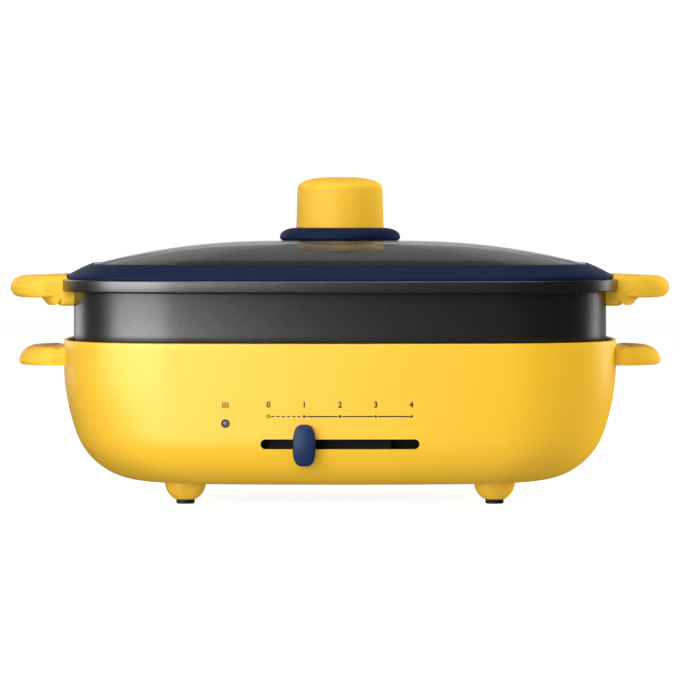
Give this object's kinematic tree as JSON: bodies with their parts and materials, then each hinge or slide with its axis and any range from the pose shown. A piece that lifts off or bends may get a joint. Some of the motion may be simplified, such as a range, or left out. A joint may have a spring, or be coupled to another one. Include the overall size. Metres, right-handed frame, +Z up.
{
  "type": "indoor electric grill",
  "caption": "Countertop electric grill with a deep ribbed pan that lifts out, a domed glass lid with a soft rim and knob, and a sliding temperature control.",
  "frame": {"origin": "on the table, under the middle of the housing", "axes": "+Z up, +X to the right seen from the front, the control faces -Y"},
  "size_m": [0.42, 0.2556, 0.205],
  "materials": {
    "yellow_plastic": "satin moulded plastic",
    "navy_plastic": "satin moulded plastic",
    "navy_silicone": "matt silicone",
    "pan_coating": "dark non-stick coating on cast aluminium",
    "smoked_glass": "clear, lightly smoked",
    "black_plastic": "fine grain",
    "grey_plastic": "fine grain",
    "black_rubber": "matt",
    "steel": "bright",
    "element_sheath": "heat-darkened",
    "brass": "bright",
    "ceramic": "white ceramic or nylon",
    "lamp_lens": "clear grey lens",
    "wire_red": "insulation",
    "wire_blue": "insulation",
    "wire_grey": "insulation"
  },
  "bodies": {
    "base": {"base_housing": "yellow_plastic", "bottom_cover": "grey_plastic", "bottom_screws": "steel", "foot_pad_front_left": "black_rubber", "foot_pad_front_right": "black_rubber", "foot_pad_rear_left": "black_rubber", "foot_pad_rear_right": "black_rubber", "base_handle_left": "yellow_plastic", "base_handle_right": "yellow_plastic", "base_handle_screws": "steel", "liner_tray": "steel", "liner_screws": "steel", "heating_element": "element_sheath", "element_terminals": "brass", "element_bushes": "ceramic", "element_clips": "steel", "pot_rests": "ceramic", "thermostat_body": "black_plastic", "thermostat_bracket": "steel", "thermostat_screws": "steel", "slider_guide": "black_plastic", "guide_screws": "steel", "lamp_bezel": "grey_plastic", "lamp_lens": "lamp_lens", "lamp_body": "ceramic", "inlet_socket": "black_plastic", "inlet_pins": "brass", "inlet_screws": "steel", "terminal_block": "ceramic", "thermal_fuse": "brass", "wire_live_in": "wire_red", "wire_neutral_in": "wire_blue", "wire_live_feed": "wire_red", "wire_switched": "wire_grey", "wire_fuse_in": "wire_blue", "wire_fuse_out": "wire_blue", "wires_lamp": "wire_grey"},
    "slider": {"slider_knob": "navy_plastic", "slider_rack": "black_plastic"},
    "thermostat_rotor": {"thermostat_spindle": "steel", "pinion": "ceramic", "pinion_clip": "steel"},
    "pan_body": {"pan": "pan_coating", "pan_handle_left": "yellow_plastic", "pan_handle_right": "yellow_plastic", "pan_handle_screws": "steel"},
    "lid_body": {"lid_glass": "smoked_glass", "lid_ring": "navy_silicone", "knob_collar": "navy_plastic", "lid_knob": "yellow_plastic", "knob_seat": "yellow_plastic", "knob_washer": "steel", "knob_screw": "steel"}
  },
  "joints": [
    {"name": "temperature_slide", "type": "slide", "parent": "base", "child": "slider", "axis": [1, 0, 0], "range_m": [-0.022, 0.066]},
    {"name": "thermostat_turn", "type": "hinge", "parent": "base", "child": "thermostat_rotor", "pos_m": [0, -0.07973, 0.04], "axis": [0, 0, 1], "range_deg": [-68, 202]},
    {"name": "pan_lift", "type": "slide", "parent": "base", "child": "pan_body", "axis": [0, 0, 1], "range_m": [0, 0.12]},
    {"name": "lid_lift", "type": "slide", "parent": "pan_body", "child": "lid_body", "axis": [0, 0, 1], "range_m": [0, 0.15]}
  ],
  "couplings": [
    {"joint": "thermostat_turn", "follows": "temperature_slide", "rad_per_m": 53.333}
  ]
}
